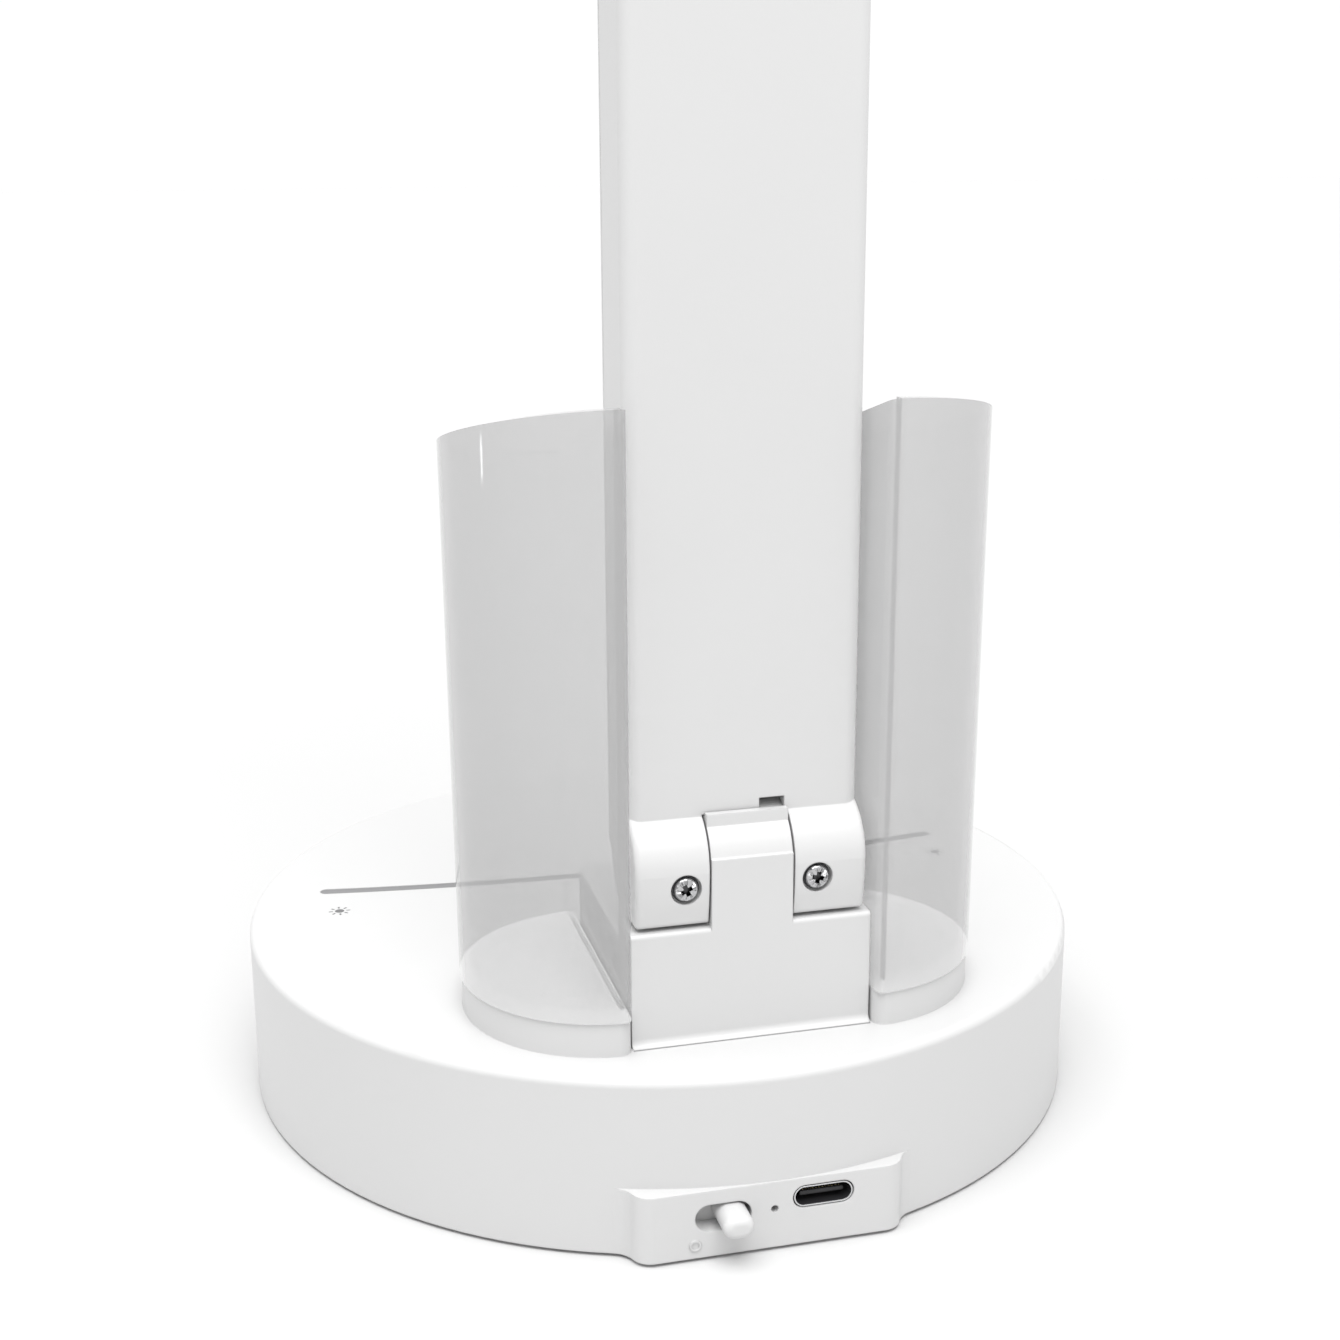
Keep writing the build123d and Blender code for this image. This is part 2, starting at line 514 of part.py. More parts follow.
# ---------- Pen cups ----------
def pen_cup():
    cup = half_round(CUP_R_FOOT, CUP_R_RIM, CUP_FLAT_X, CUP_CORNER_R, PLINTH_TOP, CUP_TOP + 1)
    inside = half_round(CUP_R_FOOT - CUP_WALL, CUP_R_RIM - CUP_WALL, CUP_FLAT_X + CUP_WALL,
                        CUP_CORNER_R / 2, PLINTH_TOP + CUP_FLOOR, CUP_TOP + 2)
    cup -= inside
    tilt = math.degrees(math.atan(RIM_SLOPE))
    above = Pos(CUP_FLAT_X, RIM_Y, RIM_Z) * Rot(tilt, 0, 0) * Pos(0, 0, 50) * Box(200, 200, 100)
    cup -= above
    cup += rod_z(SPIGOT_R, SPIGOT_X, CUP_Y, PLINTH_TOP - SPIGOT_L, PLINTH_TOP + 0.5)
    return cup


# ---------- Stem ----------
def barrel(x0, x1):
    """One hinge barrel: round above the axis, its rear face nearly upright below it."""
    tuck = TAIL_ARC_R - math.sqrt(TAIL_ARC_R ** 2 - BARREL_R ** 2)
    foot_z = HINGE_Z - BARREL_R
    rear = ThreePointArc((BLOCK_REAR_Y, HINGE_Z), (BLOCK_REAR_Y - tuck / 4, HINGE_Z - BARREL_R / 2),
                         (BLOCK_REAR_Y - tuck, foot_z))
    sides = Polyline((BLOCK_REAR_Y - tuck, foot_z), (HINGE_Y, foot_z), (HINGE_Y, HINGE_Z),
                     (BLOCK_REAR_Y, HINGE_Z))
    tail = Plane.YZ * make_face(rear + sides)
    solid = rod_x(BARREL_R, x0, x1, HINGE_Y, HINGE_Z) + Pos(x0, 0, 0) * extrude(tail, x1 - x0)
    foot_edge = solid.edges().filter_by(Axis.X).group_by(Axis.Z)[0].sort_by(Axis.Y)[-1]
    solid = fillet(foot_edge, TAIL_FOOT_R)
    outer = -1 if x0 > 0 else 0
    return fillet(solid.faces().sort_by(Axis.X)[outer].edges(), BARREL_END_R)


def stem_rear_shell():
    body = block(-STEM_HALF, STEM_HALF, TRAY_FRONT_Y, STEM_REAR_Y, HINGE_Z, EAR_TOP)
    body = fillet(upright_edges(body, x=STEM_HALF, y=STEM_REAR_Y), STEM_EDGE_R)
    top = block(-STEM_HALF, STEM_HALF, HEAD_AXIS_Y, TRAY_FRONT_Y + 1, EAR_BOTTOM, EAR_TOP)
    body += top
    body += rod_x(EAR_R, -STEM_HALF, STEM_HALF, HEAD_AXIS_Y, HEAD_AXIS_Z)
    body -= block(-EAR_INNER, EAR_INNER, HEAD_AXIS_Y - 20, POCKET_REAR_Y, EAR_BOTTOM - 0.1, EAR_TOP + 1)
    side = STEM_HALF - STEM_WALL
    body -= block(-side, side, TRAY_FRONT_Y - 1, STEM_REAR_Y - STEM_WALL, CAVITY_FOOT, CAVITY_TOP)
    body -= rod_x(NOTCH_R, -BARREL_INNER, BARREL_INNER, HINGE_Y, HINGE_Z)
    # Small notch above the stop lip
    body -= block(-6.0, -2.2, STEM_REAR_Y - NOTCH_DEPTH, STEM_REAR_Y + 1,
                  HINGE_Z + LIP_RISE, HINGE_Z + LIP_RISE + LIP_H + 1.4)
    for s in (-1, 1):
        ends = sorted((s * BARREL_INNER, s * STEM_HALF))
        body += barrel(ends[0], ends[1])
        bore = sorted((s * (BARREL_INNER - 1), s * (STEM_HALF - CAP_T)))
        body -= rod_x(BUSH_R, bore[0], bore[1], HINGE_Y, HINGE_Z)
        cap = sorted((s * (STEM_HALF - CAP_T), s * (STEM_HALF + 1)))
        body -= rod_x(HINGE_CAP_R, cap[0], cap[1], HINGE_Y, HINGE_Z)
        body -= rod_y(CLAMP_RECESS_R, s * CLAMP_SCREW_X, CLAMP_SCREW_Z, CLAMP_SEAT_Y, BLOCK_REAR_Y + 2)
        body -= rod_y(CLAMP_SHANK_R + SCREW_CLEAR, s * CLAMP_SCREW_X, CLAMP_SCREW_Z,
                      HINGE_Y, CLAMP_SEAT_Y + 1)
        hole = sorted((s * (EAR_INNER - 1), s * (STEM_HALF - CAP_T)))
        body -= rod_x(PIN_R, hole[0], hole[1], HEAD_AXIS_Y, HEAD_AXIS_Z)
        body -= rod_x(HEAD_CAP_R, cap[0], cap[1], HEAD_AXIS_Y, HEAD_AXIS_Z)
    # Wire way from the stem's hollow to the head's pocket
    body -= rod_z(2.0, 0, POCKET_REAR_Y - 2.5, CAVITY_TOP - 1, EAR_BOTTOM + 1)
    return body


def stem_front_cover():
    cover = block(-STEM_HALF, STEM_HALF, STEM_FRONT_Y, COVER_REAR_Y, HINGE_Z, EAR_BOTTOM - 0.2)
    cover = fillet(upright_edges(cover, x=STEM_HALF, y=STEM_FRONT_Y), 1.4)
    side = STEM_HALF - STEM_WALL - FIT_CLEAR
    for s in (-1, 1):
        xs = sorted((s * side, s * (side - 1.2)))
        cover += block(xs[0], xs[1], COVER_REAR_Y - 0.5, COVER_REAR_Y + 4, CAVITY_FOOT + 1, CAVITY_TOP - 1)
    return cover


def stem_stiffener():
    return block(-6, 6, COVER_REAR_Y + 0.05, COVER_REAR_Y + 1.55, CAVITY_FOOT + 3, CAVITY_TOP - 3)


def ribbon_cable():
    y1 = STEM_REAR_Y - STEM_WALL
    return block(-4, 4, y1 - 0.8, y1 - 0.02, CAVITY_FOOT + 2, CAVITY_TOP - 2)


def clamp_screw(x):
    """Pan-head screw along Y with a cross recess, sunk in a barrel."""
    z = CLAMP_SCREW_Z
    screw = rod_y(CLAMP_HEAD_R, x, z, CLAMP_SEAT_Y, CLAMP_SEAT_Y + 1.3)
    screw = fillet(screw.edges().group_by(Axis.Y)[-1], 0.5)
    screw += rod_y(CLAMP_SHANK_R, x, z, HINGE_Y + BUSH_R, CLAMP_SEAT_Y)
    for turn in (0, 90):
        cross = Rot(0, turn, 0) * Box(2.6, 1.6, 0.55)
        screw -= Pos(x, CLAMP_SEAT_Y + 1.3, z) * cross
    return screw


def tube_x(r_out, r_in, x0, x1, y, z):
    return rod_x(r_out, x0, x1, y, z) - rod_x(r_in, x0 - 1, x1 + 1, y, z)


# ---------- Head ----------
def head_shell():
    body = block(-HEAD_HALF, HEAD_HALF, HEAD_TIP_Y, HEAD_ROOT_Y, HEAD_BOTTOM, HEAD_TOP)
    body = fillet(upright_edges(body, x=HEAD_HALF, y=HEAD_TIP_Y), HEAD_TIP_R)
    body = fillet(body.edges().group_by(Axis.Z)[-1], 1.6)
    side = HEAD_HALF - HEAD_WALL
    hollow = block(-side, side, HEAD_TIP_Y + HEAD_WALL, HEAD_ROOT_Y - HEAD_WALL,
                   HEAD_BOTTOM - 1, HEAD_TOP - HEAD_WALL)
    hollow = fillet(upright_edges(hollow, x=side, y=HEAD_TIP_Y + HEAD_WALL), HEAD_TIP_R - HEAD_WALL)
    body -= hollow
    half = HEAD_KNUCKLE_HALF
    body += block(-half, half, HEAD_ROOT_Y - 0.5, HEAD_AXIS_Y, HEAD_BOTTOM, HEAD_AXIS_Z + HEAD_KNUCKLE_R)
    body += rod_x(HEAD_KNUCKLE_R, -half, half, HEAD_AXIS_Y, HEAD_AXIS_Z)
    body -= rod_x(HEAD_BUSH_R, -half - 1, half + 1, HEAD_AXIS_Y, HEAD_AXIS_Z)
    return body


def head_diffuser():
    side = HEAD_HALF - HEAD_WALL - FIT_CLEAR
    tip = HEAD_TIP_Y + HEAD_WALL + FIT_CLEAR
    root = HEAD_ROOT_Y - HEAD_WALL - FIT_CLEAR
    sheet = block(-side, side, tip, root, HEAD_BOTTOM, HEAD_BOTTOM + DIFFUSER_T)
    return fillet(upright_edges(sheet, x=side, y=tip), HEAD_TIP_R - HEAD_WALL - FIT_CLEAR)


def led_board():
    side = HEAD_HALF - HEAD_WALL - 2.5
    ceiling = HEAD_TOP - HEAD_WALL
    return block(-side, side, HEAD_TIP_Y + 12, HEAD_ROOT_Y - 8, ceiling - 1.2, ceiling)


def led_chips():
    chips = []
    z1 = HEAD_TOP - HEAD_WALL - 1.2
    first = HEAD_TIP_Y + 18
    pitch = (HEAD_ROOT_Y - 14 - first) / (LED_COUNT - 1)
    for row in (-LED_ROW_X, LED_ROW_X):
        for k in range(LED_COUNT):
            y = first + k * pitch
            chips.append(block(row - 1.4, row + 1.4, y - 1.75, y + 1.75, z1 - 0.8, z1))
    return chips


# ---------- Build every piece ----------
def save(name, *solids):
    piece = solids[0] if len(solids) == 1 else Compound(children=list(solids))
    OUT[name] = piece


save("base_shell", base_shell())
save("bottom_plate", bottom_plate())
save("foot_pad", rod_z(PAD_R, 0, 0, 0, PAD_T))
save("bottom_screws", *[countersunk_screw(x, y, PAD_T, 2.8, 1.2, 1.5, PLATE_TOP + 9) for x, y in BOSS_PLACES])
save("ballast_disc", ballast_disc())
save("ballast_screws", *[pan_head_screw_down(x, y, PLATE_TOP + BALLAST_T, 1.5, PAD_T + 0.6)
                         for x, y in BALLAST_SCREWS])
save("battery_cradle", battery_cradle())
save("battery_cell", battery_cell())
save("battery_tabs", *battery_tabs())
save("main_board", main_board())
save("board_screws", *[pan_head_screw_down(x, y, PCB_TOP, 1.0, PAD_T + 0.8) for x, y in BOARD_SCREWS])
save("usb_socket", usb_socket())
save("switch_body", switch_body())
save("switch_knob", switch_knob())
save("charge_led", charge_led())
save("touch_strip", strip_band(STRIP_HALF, STRIP_W, BASE_TOP - STRIP_DEPTH, BASE_TOP - 0.1))
save("touch_icons", *(sun_icon(-ICON_X, ICON_Y, ICON_R, BASE_TOP - ICON_DEPTH, BASE_TOP)
                      + sun_icon(ICON_X, ICON_Y, ICON_R, BASE_TOP - ICON_DEPTH, BASE_TOP)))
save("touch_board", touch_board())
save("hinge_bracket", hinge_bracket())
save("bracket_screws", *[countersunk_screw(x, y, ROOF_Z - 1.8, 2.8, 1.8, 1.5, BASE_TOP + 8)
                         for x, y in BRACKET_SCREWS])
save("hinge_pin", rod_x(PIN_R, -PIN_HALF, PIN_HALF, HINGE_Y, HINGE_Z))
left_cup = pen_cup()
save("pen_cup_left", left_cup)
save("pen_cup_right", mirrored(left_cup))
save("stem_rear_shell", stem_rear_shell())
save("stem_front_cover", stem_front_cover())
save("stem_stiffener", stem_stiffener())
save("ribbon_cable", ribbon_cable())
save("stem_bushes", *[tube_x(BUSH_R, PIN_R + RUN_CLEAR, *sorted((s * BARREL_INNER, s * (STEM_HALF - CAP_T))),
                             HINGE_Y, HINGE_Z) for s in (-1, 1)])
save("hinge_caps", *[rod_x(HINGE_CAP_R - RUN_CLEAR, *sorted((s * (STEM_HALF - CAP_T), s * STEM_HALF)),
                           HINGE_Y, HINGE_Z) for s in (-1, 1)])
save("clamp_screws", *[clamp_screw(s * CLAMP_SCREW_X) for s in (-1, 1)])
save("head_pin", rod_x(PIN_R, -PIN_HALF, PIN_HALF, HEAD_AXIS_Y, HEAD_AXIS_Z))
save("head_pin_caps", *[rod_x(HEAD_CAP_R - RUN_CLEAR, *sorted((s * (STEM_HALF - CAP_T), s * STEM_HALF)),
                              HEAD_AXIS_Y, HEAD_AXIS_Z) for s in (-1, 1)])
save("head_shell", head_shell())
save("head_bush", tube_x(HEAD_BUSH_R, PIN_R + RUN_CLEAR, -HEAD_KNUCKLE_HALF, HEAD_KNUCKLE_HALF,
                         HEAD_AXIS_Y, HEAD_AXIS_Z))
save("head_washers", *[tube_x(5.0, PIN_R + RUN_CLEAR, *sorted((s * (EAR_INNER - 0.4), s * (EAR_INNER - 0.1))),
                              HEAD_AXIS_Y, HEAD_AXIS_Z) for s in (-1, 1)])
save("head_diffuser", head_diffuser())
save("led_board", led_board())
save("led_chips", *led_chips())

os.makedirs("parts", exist_ok=True)
for node, piece in OUT.items():
    export_step(piece, f"parts/{node}.step")
    print(node, len(piece.solids()), round(piece.volume, 1))
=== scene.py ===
import bpy
import json
import math
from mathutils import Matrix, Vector


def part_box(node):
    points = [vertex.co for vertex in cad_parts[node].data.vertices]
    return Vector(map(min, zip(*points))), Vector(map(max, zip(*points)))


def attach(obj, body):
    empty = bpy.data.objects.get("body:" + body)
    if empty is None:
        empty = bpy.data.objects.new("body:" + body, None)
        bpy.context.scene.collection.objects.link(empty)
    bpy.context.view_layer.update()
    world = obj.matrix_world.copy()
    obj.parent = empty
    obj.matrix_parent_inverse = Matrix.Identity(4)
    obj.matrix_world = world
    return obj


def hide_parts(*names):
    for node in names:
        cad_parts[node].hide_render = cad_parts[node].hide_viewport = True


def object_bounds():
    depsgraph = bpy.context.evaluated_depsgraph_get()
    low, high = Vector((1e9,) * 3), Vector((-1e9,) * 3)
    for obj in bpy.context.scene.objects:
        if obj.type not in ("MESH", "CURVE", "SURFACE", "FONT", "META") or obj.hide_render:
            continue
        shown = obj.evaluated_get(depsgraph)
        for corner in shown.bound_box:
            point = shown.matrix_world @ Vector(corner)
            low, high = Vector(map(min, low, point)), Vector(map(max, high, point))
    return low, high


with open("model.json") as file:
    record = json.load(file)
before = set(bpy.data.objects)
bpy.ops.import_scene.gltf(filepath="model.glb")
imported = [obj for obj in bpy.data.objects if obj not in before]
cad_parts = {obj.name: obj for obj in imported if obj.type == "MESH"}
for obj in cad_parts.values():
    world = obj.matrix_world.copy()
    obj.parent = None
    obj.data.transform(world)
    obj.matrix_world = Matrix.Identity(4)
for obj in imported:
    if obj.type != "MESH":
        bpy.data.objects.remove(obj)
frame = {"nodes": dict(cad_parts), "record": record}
cad_low, cad_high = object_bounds()
record = frame["record"]

MM = 0.001


# ---------- Modelling helpers ----------
def deselect_all():
    bpy.ops.object.select_all(action="DESELECT")


def edit_mode(select_type="FACE"):
    bpy.ops.object.mode_set(mode="EDIT")
    bpy.ops.mesh.select_mode(type=select_type)


def object_mode():
    bpy.ops.object.mode_set(mode="OBJECT")


def settle(piece, name):
    """Puts a piece's place into its mesh, with the object at the origin, and names it."""
    object_mode()
    deselect_all()
    piece.select_set(True)
    bpy.context.view_layer.objects.active = piece
    bpy.ops.object.transform_apply(location=True, rotation=True, scale=True)
    piece.name = name
    piece.data.name = name
    return piece


def select_faces(piece, wanted):
    """Selects the faces whose centre and normal pass the test.

    Edges and vertices keep their own selection, and on a new primitive they are all selected.
    """
    object_mode()
    for face in piece.data.polygons:
        face.select = bool(wanted(face.center, face.normal))
    edit_mode("FACE")


def select_edges(piece, wanted):
    """Selects the edges whose two ends pass the test."""
    object_mode()
    mesh = piece.data
    for face in mesh.polygons:
        face.select = False
    for vertex in mesh.vertices:
        vertex.select = False
    for edge in mesh.edges:
        ends = [mesh.vertices[i].co for i in edge.vertices]
        edge.select = bool(wanted(*ends))
    edit_mode("EDGE")


def select_vertices(piece, wanted):
    """Selects the vertices whose place passes the test."""
    object_mode()
    mesh = piece.data
    for face in mesh.polygons:
        face.select = False
    for edge in mesh.edges:
        edge.select = False
    for vertex in mesh.vertices:
        vertex.select = bool(wanted(vertex.co))
    bpy.context.tool_settings.mesh_select_mode = (True, False, False)
    bpy.ops.object.mode_set(mode="EDIT")


def apply_modifier(piece, kind, **settings):
    object_mode()
    deselect_all()
    piece.select_set(True)
    bpy.context.view_layer.objects.active = piece
    modifier = piece.modifiers.new(kind.lower(), kind)
    for key, value in settings.items():
        setattr(modifier, key, value)
    bpy.ops.object.modifier_apply(modifier=modifier.name)


def recalculate_normals(piece):
    select_faces(piece, lambda centre, normal: True)
    bpy.ops.mesh.normals_make_consistent(inside=False)
    object_mode()


def normals_outward(piece):
    select_faces(piece, lambda centre, normal: True)
    bpy.ops.mesh.remove_doubles(threshold=0.000001)
    object_mode()
    recalculate_normals(piece)


def smooth(piece, angle=35):
    object_mode()
    deselect_all()
    piece.select_set(True)
    bpy.context.view_layer.objects.active = piece
    bpy.ops.object.shade_smooth_by_angle(angle=math.radians(angle))


def join(pieces, name):
    object_mode()
    deselect_all()
    for piece in pieces:
        piece.select_set(True)
    bpy.context.view_layer.objects.active = pieces[0]
    bpy.ops.object.join()
    pieces[0].name = name
    pieces[0].data.name = name
    return pieces[0]


def copied(piece, name):
    twin = piece.copy()
    twin.data = piece.data.copy()
    twin.name = name
    twin.data.name = name
    bpy.context.scene.collection.objects.link(twin)
    return twin


def mirrored_x(piece, name):
    """A copy mirrored to the other side of the lamp."""
    twin = copied(piece, name)
    twin.scale = (-1, 1, 1)
    settle(twin, name)
    recalculate_normals(twin)
    return twin


def dress(piece, *looks):
    piece.data.materials.clear()
    for look in looks:
        piece.data.materials.append(look)


# ---------- Shader helpers ----------
# Noise scales, in waves per metre
WAVE_SIZE = 14.0
PATCH_SIZE = 60.0
SPECKLE_SIZE = 2600.0
LINE_STRETCH = (1.0, 0.08, 1.0)   # draws the lines out along Y
TONE_SWING = 0.4                  # share of the patches that reaches the tone
LIGHT_PASSED = 0.75               # share of the light that clear plastic lets through


def new_group(name, inputs, outputs):
    """A shader node group with named number inputs and outputs."""
    group = bpy.data.node_groups.new(name, "ShaderNodeTree")
    for label, default in inputs:
        socket = group.interface.new_socket(label, in_out="INPUT", socket_type="NodeSocketFloat")
        socket.default_value = default
    for label in outputs:
        group.interface.new_socket(label, in_out="OUTPUT", socket_type="NodeSocketFloat")
    return group, group.nodes.new("NodeGroupInput"), group.nodes.new("NodeGroupOutput")


def maths(tree, operation, *values):
    """A Math node on numbers or sockets; its output."""
    node = tree.nodes.new("ShaderNodeMath")
    node.operation = operation
    for socket, value in zip(node.inputs, values):
        if isinstance(value, (int, float)):
            socket.default_value = value
        else:
            tree.links.new(value, socket)
    return node.outputs[0]


def noise(tree, place, scale, detail=2.0, stretch=(1.0, 1.0, 1.0)):
    """Noise on the piece's own coordinates, stretched along an axis if asked; its value."""
    node = tree.nodes.new("ShaderNodeTexNoise")
    node.inputs["Detail"].default_value = detail
    if isinstance(scale, (int, float)):
        node.inputs["Scale"].default_value = scale
    else:
        tree.links.new(scale, node.inputs["Scale"])
    mapping = tree.nodes.new("ShaderNodeMapping")
    mapping.inputs["Scale"].default_value = stretch
    tree.links.new(place, mapping.inputs["Vector"])
    tree.links.new(mapping.outputs["Vector"], node.inputs["Vector"])
    return node.outputs["Fac"]


def make_moulded_skin():
    """Moulded plastic: fine grain over slow waviness, and a slightly uneven gloss and tone."""
    group, given, result = new_group(
        "moulded_skin",
        [("Grain Size", 1500.0), ("Waviness", 0.5), ("Roughness", 0.4), ("Unevenness", 0.08)],
        ["Height", "Roughness", "Tone"])
    place = group.nodes.new("ShaderNodeTexCoord").outputs["Object"]
    spark = noise(group, place, given.outputs["Grain Size"])
    slow = noise(group, place, WAVE_SIZE)
    wave = maths(group, "MULTIPLY", slow, given.outputs["Waviness"])
    group.links.new(maths(group, "ADD", spark, wave), result.inputs["Height"])
    patch = maths(group, "SUBTRACT", noise(group, place, PATCH_SIZE, 4.0), 0.5)
    spread = maths(group, "MULTIPLY", patch, given.outputs["Unevenness"])
    roughness = maths(group, "ADD", spread, given.outputs["Roughness"])
    tone = maths(group, "ADD", maths(group, "MULTIPLY", patch, TONE_SWING), 0.5)
    group.links.new(roughness, result.inputs["Roughness"])
    group.links.new(tone, result.inputs["Tone"])
    return group


def make_turned_metal():
    """Turned or rolled metal: fine lines along one axis over a speckle, as height and roughness."""
    group, given, result = new_group(
        "turned_metal", [("Line Size", 900.0), ("Roughness", 0.25), ("Unevenness", 0.15)],
        ["Height", "Roughness"])
    place = group.nodes.new("ShaderNodeTexCoord").outputs["Object"]
    lines = noise(group, place, given.outputs["Line Size"], stretch=LINE_STRETCH)
    speckle = noise(group, place, SPECKLE_SIZE)
    height = maths(group, "ADD", lines, maths(group, "MULTIPLY", speckle, 0.5))
    group.links.new(height, result.inputs["Height"])
    patch = maths(group, "SUBTRACT", lines, 0.5)
    spread = maths(group, "MULTIPLY", patch, given.outputs["Unevenness"])
    roughness = maths(group, "ADD", spread, given.outputs["Roughness"])
    group.links.new(roughness, result.inputs["Roughness"])
    return group


MOULDED_SKIN = make_moulded_skin()
TURNED_METAL = make_turned_metal()


def new_material(name):
    material = bpy.data.materials.new(name)
    material.use_nodes = True
    tree = material.node_tree
    return material, tree, tree.nodes["Principled BSDF"]


def add_bump(tree, shader, height, strength, distance, edge_radius=0.0):
    """Bump from a height, over edges that read as rounded by edge_radius."""
    bump = tree.nodes.new("ShaderNodeBump")
    bump.inputs["Strength"].default_value = strength
    bump.inputs["Distance"].default_value = distance
    tree.links.new(height, bump.inputs["Height"])
    if edge_radius > 0:
        bevel = tree.nodes.new("ShaderNodeBevel")
        bevel.samples = 4
        bevel.inputs["Radius"].default_value = edge_radius
        tree.links.new(bevel.outputs["Normal"], bump.inputs["Normal"])
    tree.links.new(bump.outputs["Normal"], shader.inputs["Normal"])


def tinted(tree, shader, colour, tone, spread):
    """Base colour that drifts a little between a darker and a lighter tone."""
    ramp = tree.nodes.new("ShaderNodeValToRGB")
    darker = [c * (1 - spread) for c in colour]
    lighter = [min(c * (1 + spread), 1.0) for c in colour]
    ramp.color_ramp.elements[0].color = (*darker, 1.0)
    ramp.color_ramp.elements[1].color = (*lighter, 1.0)
    tree.links.new(tone, ramp.inputs["Fac"])
    tree.links.new(ramp.outputs["Color"], shader.inputs["Base Color"])


def moulded(name, colour, roughness, grain_size=1500.0, grain_depth=0.03, unevenness=0.08,
            edge_radius=0.0003, spread=0.02):
    """A moulded plastic or rubber skin."""
    material, tree, shader = new_material(name)
    skin = tree.nodes.new("ShaderNodeGroup")
    skin.node_tree = MOULDED_SKIN
    skin.inputs["Grain Size"].default_value = grain_size
    skin.inputs["Roughness"].default_value = roughness
    skin.inputs["Unevenness"].default_value = unevenness
    tree.links.new(skin.outputs["Roughness"], shader.inputs["Roughness"])
    tinted(tree, shader, colour, skin.outputs["Tone"], spread)
    add_bump(tree, shader, skin.outputs["Height"], grain_depth, 0.0002, edge_radius)
    return material


def metal(name, colour, roughness, line_size=900.0, depth=0.03, unevenness=0.15):
    """A turned or rolled metal."""
    material, tree, shader = new_material(name)
    shader.inputs["Base Color"].default_value = (*colour, 1.0)
    shader.inputs["Metallic"].default_value = 1.0
    lines = tree.nodes.new("ShaderNodeGroup")
    lines.node_tree = TURNED_METAL
    lines.inputs["Line Size"].default_value = line_size
    lines.inputs["Roughness"].default_value = roughness
    lines.inputs["Unevenness"].default_value = unevenness
    tree.links.new(lines.outputs["Roughness"], shader.inputs["Roughness"])
    add_bump(tree, shader, lines.outputs["Height"], depth, 0.0001, 0.0001)
    return material


def clear_plastic(name, colour, hide_facing, hide_edge):
    """Milky see-through plastic, which hides more of what is behind it edge on than face on.

    Its far side is clear, and most of the light passes it, so that what stands in it is lit.
    """
    material = moulded(name, colour, 0.07, grain_size=500.0, grain_depth=0.004, unevenness=0.03,
                       edge_radius=0.0, spread=0.01)
    tree = material.node_tree
    shader = tree.nodes["Principled BSDF"]
    facing = tree.nodes.new("ShaderNodeLayerWeight")
    facing.inputs["Blend"].default_value = 0.3
    side = tree.nodes.new("ShaderNodeNewGeometry").outputs["Backfacing"]
    rise = maths(tree, "MULTIPLY", facing.outputs["Facing"], hide_edge)
    veil = maths(tree, "ADD", rise, hide_facing)
    near_side = maths(tree, "SUBTRACT", 1.0, side)
    path = tree.nodes.new("ShaderNodeLightPath")
    lighting = maths(tree, "MAXIMUM", path.outputs["Is Shadow Ray"], path.outputs["Is Diffuse Ray"])
    held = maths(tree, "MULTIPLY_ADD", lighting, -LIGHT_PASSED, 1.0)
    seen = maths(tree, "MULTIPLY", veil, near_side)
    tree.links.new(maths(tree, "MULTIPLY", seen, held), shader.inputs["Alpha"])
    return material


LOOKS = {
    "shell_white": moulded("white_abs", (0.54, 0.54, 0.54), 0.36),
    "cup_smoke": clear_plastic("milky_cup", (0.33, 0.33, 0.33), 0.7, 0.1),
    "pad_rubber": moulded("black_rubber", (0.025, 0.025, 0.027), 0.8, 600.0, 0.3, spread=0.15),
    "plate_grey": moulded("grey_abs", (0.55, 0.55, 0.555), 0.5, 900.0, 0.1),
    "steel_plain": metal("zinc_steel", (0.55, 0.56, 0.58), 0.3),
    "screw_chrome": metal("nickel_screw", (0.52, 0.52, 0.53), 0.12),
    "cell_wrap": moulded("cell_sleeve", (0.03, 0.16, 0.38), 0.25),
    "tab_nickel": metal("nickel_strip", (0.6, 0.58, 0.54), 0.3),
    "cradle_black": moulded("black_abs", (0.02, 0.02, 0.022), 0.5),
    "board_green": moulded("green_laminate", (0.01, 0.12, 0.05), 0.3, 500.0, 0.1),
    "socket_steel": metal("socket_steel", (0.62, 0.62, 0.63), 0.22),
    "switch_black": moulded("switch_black", (0.02, 0.02, 0.022), 0.5),
    "led_clear": moulded("clear_lens", (0.55, 0.5, 0.35), 0.15),
    "strip_grey": moulded("strip_grey", (0.18, 0.18, 0.183), 0.35, edge_radius=0.0),
    "icon_grey": moulded("icon_grey", (0.13, 0.13, 0.132), 0.5, edge_radius=0.0),
    "nylon": moulded("natural_nylon", (0.7, 0.69, 0.65), 0.5),
    "ribbon_white": moulded("ribbon_white", (0.7, 0.7, 0.69), 0.5),
    "diffuser_opal": moulded("opal_sheet", (0.8, 0.8, 0.79), 0.3, 700.0, 0.05),
    "led_board_alu": metal("board_aluminium", (0.75, 0.75, 0.76), 0.4),
}
# Painted shade: a near-black metal for the screws' cross recess and flange rim, which are the same
# bright metal in shade
SCREW_PAINTED_SHADE = metal("screw_painted_shade", (0.07, 0.07, 0.073), 0.3)
CUP_INSIDE = clear_plastic("milky_cup_inside", (0.62, 0.62, 0.62), 0.06, 0.1)
# Painted light: the cup's underside, which shows as its floor, gets a white much lighter than the
# plastic, in place of the light that comes through the walls
CUP_UNDERSIDE_PAINTED_LIGHT = moulded("cup_underside_painted_light", (0.86, 0.86, 0.86), 0.4, edge_radius=0.0)
CONTACT_GOLD = metal("contact_gold", (0.75, 0.6, 0.3), 0.25)

for part in record["subparts"]:
    dress(frame["nodes"][part["node"]], LOOKS[part["material_slot"]])


